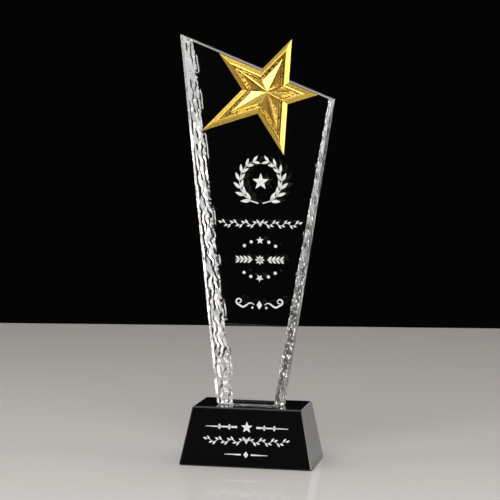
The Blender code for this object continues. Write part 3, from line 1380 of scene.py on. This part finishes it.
    def draw_sprigs(self, sheet: PrintSheet) -> None:
        """Draw a rosette between two leafy sprigs.

        Args:
            sheet: The sheet.
        """
        for petal in range(self.petals):
            turn = 360.0 * petal / self.petals
            sheet.add(leaf_outline(*self.petal), self.middle, self.sprig_level, turn)
        line = []
        for i in range(self.sprig_steps + 1):
            bow = self.sprig_bow * math.sin(math.pi * i / self.sprig_steps)
            line.append(Vector((self.sprig_start + self.sprig_length * i / self.sprig_steps, bow)))
        stem = ribbon_outline(line, taper(*self.sprig_stem, self.sprig_steps))
        sheet.add_pair(stem, self.middle, self.sprig_level)
        for i in range(self.sprig_pairs):
            x = self.sprig_leaf_start + self.sprig_leaf_step * i
            for lean in (self.sprig_lean, -self.sprig_lean):
                leaf = placed(leaf_outline(*self.sprig_leaf), x, self.sprig_leaf_lift, math.radians(lean))
                sheet.add_pair(leaf, self.middle, self.sprig_level)

    def draw_flourish(self, sheet: PrintSheet) -> None:
        """Draw a lozenge between two strokes that end in a curl.

        Args:
            sheet: The sheet.
        """
        sheet.add(lozenge_outline(*self.flourish_lozenge), self.middle, self.flourish_level)
        stroke = []
        widths = []
        for i in range(self.stroke_steps + 1):
            share = i / self.stroke_steps
            if share < self.stroke_share:
                run = share / self.stroke_share
                wave = self.stroke_wave * math.sin(2.0 * math.pi * run)
                stroke.append(Vector((self.stroke_start + self.stroke_length * run, wave)))
            else:
                turn = (share - self.stroke_share) / (1.0 - self.stroke_share)
                reach = self.curl_reach * (1.0 - self.curl_shrink * turn)
                way = heading(math.radians(-90.0 + self.curl_turn * turn))
                stroke.append(Vector(self.curl_middle) + way * reach)
            widths.append(self.stroke_width + self.stroke_swell * math.sin(math.pi * share))
        sheet.add_pair(ribbon_outline(stroke, widths), self.middle, self.flourish_level)
        dot = placed(disc_outline(self.flourish_dot), *self.flourish_dot_spot)
        sheet.add_pair(dot, self.middle, self.flourish_level)

    def build_on_blade(self, blade: KnappedBlade) -> None:
        """Print the blade's front face.

        Args:
            blade: The blade.
        """
        sheet = PrintSheet()
        self.draw_laurel(sheet)
        self.draw_vine(sheet, self.middle, self.vine_level, self.vine_half)
        self.draw_star_arc(sheet, self.upper_stars_level, 1.0)
        self.draw_sprigs(sheet)
        self.draw_star_arc(sheet, self.lower_stars_level, -1.0)
        self.draw_flourish(sheet)
        sheet.raise_on("blade_print", blade.front_face())

    def build_on_block(self, block: BlackBlock) -> None:
        """Print the block's front face.

        Args:
            block: The block.
        """
        sheet = PrintSheet()
        sheet.add(star_outline(self.head_star), self.block_middle, self.head_level)
        sheet.add_pair(self.head_rule.outline(), self.block_middle, self.head_level)
        for x in self.head_lozenge_spots:
            lozenge = placed(lozenge_outline(*self.head_lozenge), x, 0.0)
            sheet.add_pair(lozenge, self.block_middle, self.head_level)
        self.draw_vine(sheet, self.block_middle, self.block_vine_level, self.block_vine_half)
        sheet.add(lozenge_outline(*self.foot_lozenge), self.block_middle, self.foot_level)
        sheet.add_pair(self.foot_rule.outline(), self.block_middle, self.foot_level)
        sheet.raise_on("block_print", block.front_face())


@dataclass(frozen=True)
class Softbox:
    """A rectangular lamp that faces the trophy. Its glow is its radiance."""

    name: str
    place: tuple[float, float, float]
    width: float
    height: float
    glow: float
    aim: tuple[float, float, float] = (0.0, 0.0, 0.14)

    def build(self) -> None:
        """Hang the lamp and turn it to its aim."""
        light = bpy.data.lights.new(self.name, "AREA")
        light.shape = "RECTANGLE"
        light.size = self.width
        light.size_y = self.height
        light.energy = self.glow * math.pi * self.width * self.height
        lamp = bpy.data.objects.new(self.name, light)
        lamp.location = self.place
        lamp.rotation_euler = (Vector(self.aim) - Vector(self.place)).to_track_quat("-Z", "Y").to_euler()
        bpy.context.scene.collection.objects.link(lamp)


@dataclass
class Studio:
    """A pale table in a dark room with soft lamps."""

    table_left: float = -0.34
    table_right: float = 0.40
    table_front: float = -0.70
    table_back: float = 0.74
    table_corner: float = 0.03
    table_thickness: float = 0.012
    table_round: float = 0.003
    table_turn: float = math.radians(10.59)
    corner_steps: int = 8
    round_steps: int = 6
    rim_angle: float = math.radians(30.0)
    room_dark: float = 0.0015
    front_dim: float = 0.008
    left_fill: float = 0.03
    room_glow: float = 0.5
    front_glow: float = 0.15
    back_floor: float = 0.25
    right_brown: float = 1.7
    brown: Colour = (0.14, 0.085, 0.045)
    left_wall: Span = (-0.65, -0.35)
    right_wall: Span = (0.25, 0.55)
    back_wall: Span = (0.6, 0.85)
    dim_depths: Span = (-0.4, 0.4)
    glow_depths: Span = (-0.4, 0.5)
    glow_heights: Span = (0.165, 0.24)
    floor_heights: Span = (-0.25, -0.12)
    light_bounces: int = 24
    softboxes: tuple[Softbox, ...] = (
        Softbox("front_softbox", (0.0, -0.96, 0.98), 1.2, 0.8, 4.8),
        Softbox("key_softbox", (-0.767, -0.342, 0.835), 0.42, 0.4, 3.2, (0.0, 0.0, 0.2)),
        Softbox("right_softbox", (0.814, -0.1, 0.19), 0.2, 0.6, 4.0, (0.0, 0.0, 0.2)),
        Softbox("low_softbox", (0.55, -0.25, 0.04), 0.3, 0.24, 1.7, (0.0, 0.0, 0.04)),
        Softbox("left_softbox", (-0.85, -0.05, 0.17), 0.5, 0.8, 0.22, (0.0, 0.0, 0.17)),
        Softbox("edge_softbox", (0.188, 1.488, 0.05), 0.118, 0.32, 0.12, (0.0, 0.0, 0.05)),
        Softbox("slim_softbox", (0.173, 1.52, 0.56), 0.16, 0.68, 0.6, (0.0, 0.0, 0.56)),
        Softbox("back_softbox", (0.567, 1.421, 0.35), 0.664, 1.3, 0.65, (0.0, 0.0, 0.35)),
        Softbox("top_softbox", (-0.15, -0.1, 1.1), 0.62, 0.6, 1.1, (-0.15, -0.1, 0.0)),
    )

    def table_outline(self) -> Outline:
        """Draw the outline of the table top.

        Returns:
            The outline, clockwise, with rounded corners.
        """
        corner = self.table_corner
        spots = (
            (self.table_left + corner, self.table_back - corner, 180.0),
            (self.table_right - corner, self.table_back - corner, 90.0),
            (self.table_right - corner, self.table_front + corner, 0.0),
            (self.table_left + corner, self.table_front + corner, -90.0),
        )
        turned = Matrix.Rotation(self.table_turn, 2)
        points = []
        for x, y, start in spots:
            for turn in taper(start, start - 90.0, self.corner_steps):
                points.append(turned @ (Vector((x, y)) + heading(math.radians(turn)) * corner))
        return points

    def build_table(self) -> None:
        """Round the table's rim over from its top."""
        section = [(2.0 * self.table_round, 0.0)]
        for turn in taper(math.radians(90.0), 0.0, self.round_steps):
            drop = self.table_round * (math.sin(turn) - 1.0)
            section.append((self.table_round * (1.0 - math.cos(turn)), drop))
        section.append((0.0, -self.table_thickness))
        outline = self.table_outline()
        shape = bmesh.new()
        loft(shape, [
            [shape.verts.new((p.x, p.y, level)) for p in inset_outline(outline, distance)]
            for distance, level in section
        ])
        table = add_piece("table", shape, [PALE_TABLE])
        smooth_with_creases(table.data, self.rim_angle, set())

    def build_room(self) -> None:
        """Make the room dark around the trophy, dimly lit at the sides, soft above and brown below."""
        world = bpy.data.worlds.new("room")
        bpy.context.scene.world = world
        world.use_nodes = True
        tree = world.node_tree
        place = tree.nodes.new("ShaderNodeTexCoord").outputs["Generated"]
        split = add_node(tree, "ShaderNodeSeparateXYZ", {"Vector": place})

        def ramp(axis: Axis, limits: Span, low: float, high: float) -> Socket:
            """Add a smooth step along one axis of the room.

            Args:
                axis: The axis.
                limits: Where the step starts and ends.
                low: Value before the step.
                high: Value after it.

            Returns:
                The stepped value.
            """
            node = add_node(tree, "ShaderNodeMapRange", {
                "From Min": limits[0], "From Max": limits[1], "To Min": low, "To Max": high,
                "Value": split.outputs[axis.value],
            }, interpolation_type="SMOOTHSTEP")
            return node.outputs["Result"]

        def join(joining: Joining, first: Socket, second: Socket) -> Socket:
            """Add or multiply two values."""
            inputs = {0: first, 1: second}
            return add_node(tree, "ShaderNodeMath", inputs, operation=joining.value).outputs["Value"]

        sides = join(Joining.ADD, ramp(Axis.X, self.left_wall, self.left_fill, 0.0),
                     ramp(Axis.Y, self.dim_depths, self.front_dim, self.room_dark))
        above = join(Joining.MULTIPLY, ramp(Axis.Z, self.glow_heights, 0.0, self.room_glow),
                     ramp(Axis.Y, self.glow_depths, self.front_glow, 1.0))
        behind = join(Joining.MULTIPLY, ramp(Axis.Z, self.floor_heights, self.back_floor, 0.0),
                      ramp(Axis.Y, self.back_wall, 0.0, 1.0))
        below = join(Joining.ADD, ramp(Axis.Z, self.floor_heights, 1.0, 0.0),
                     ramp(Axis.X, self.right_wall, 0.0, self.right_brown))
        white_light = tree.nodes["Background"]
        white_light.inputs["Color"].default_value = (1.0, 1.0, 1.0, 1.0)
        strength = join(Joining.ADD, join(Joining.ADD, sides, above), behind)
        tree.links.new(strength, white_light.inputs["Strength"])
        brown_light = add_node(tree, "ShaderNodeBackground", {"Color": (*self.brown, 1.0), "Strength": below})
        both = add_node(tree, "ShaderNodeAddShader", {
            0: white_light.outputs["Background"], 1: brown_light.outputs["Background"],
        })
        tree.links.new(both.outputs["Shader"], tree.nodes["World Output"].inputs["Surface"])

    def build(self) -> None:
        """Set up the table, the room and the lamps."""
        self.build_table()
        self.build_room()
        for softbox in self.softboxes:
            softbox.build()
        scene = bpy.context.scene
        scene.view_settings.view_transform = "Standard"
        scene.cycles.max_bounces = self.light_bounces
        scene.cycles.glossy_bounces = self.light_bounces
        scene.cycles.transmission_bounces = self.light_bounces
        LOG.info("studio: %d softboxes", len(self.softboxes))


@dataclass
class PhotoCamera:
    """The camera, at the photograph's viewing angle."""

    azimuth: float = math.radians(10.590)
    elevation: float = math.radians(3.892)
    roll: float = math.radians(0.630)
    distance: float = 1.0596
    target: tuple[float, float, float] = (-0.00279, 0.0, 0.12741)
    lens: float = 127.53
    sensor: float = 36.0
    near_clip: float = 0.05

    def build(self) -> None:
        """Place the camera and make it the scene's own."""
        level = math.cos(self.elevation)
        back = Vector((
            math.sin(self.azimuth) * level, -math.cos(self.azimuth) * level, math.sin(self.elevation),
        ))
        right = Vector((math.cos(self.azimuth), math.sin(self.azimuth), 0.0))
        upward = back.cross(right)
        leaned_right = right * math.cos(self.roll) + upward * math.sin(self.roll)
        leaned_up = upward * math.cos(self.roll) - right * math.sin(self.roll)
        turned = Matrix((leaned_right, leaned_up, back)).transposed().to_4x4()
        lens = bpy.data.cameras.new("camera")
        lens.lens = self.lens
        lens.sensor_width = self.sensor
        lens.clip_start = self.near_clip
        camera = bpy.data.objects.new("camera", lens)
        camera.matrix_world = Matrix.Translation(Vector(self.target) + back * self.distance) @ turned
        bpy.context.scene.collection.objects.link(camera)
        bpy.context.scene.camera = camera


def main() -> None:
    """Build the trophy from the block upwards, then the studio and the camera."""
    logging.basicConfig(level=logging.INFO, format="%(message)s")
    block = BlackBlock()
    block.dress()
    blade = KnappedBlade()
    blade.build()
    ResinFilm().build()
    GoldStar().build(blade)
    dress_node("star_pad", PAD_RESIN)
    ornaments = Ornaments()
    ornaments.build_on_blade(blade)
    ornaments.build_on_block(block)
    Studio().build()
    PhotoCamera().build()


if __name__ == "__main__":
    main()
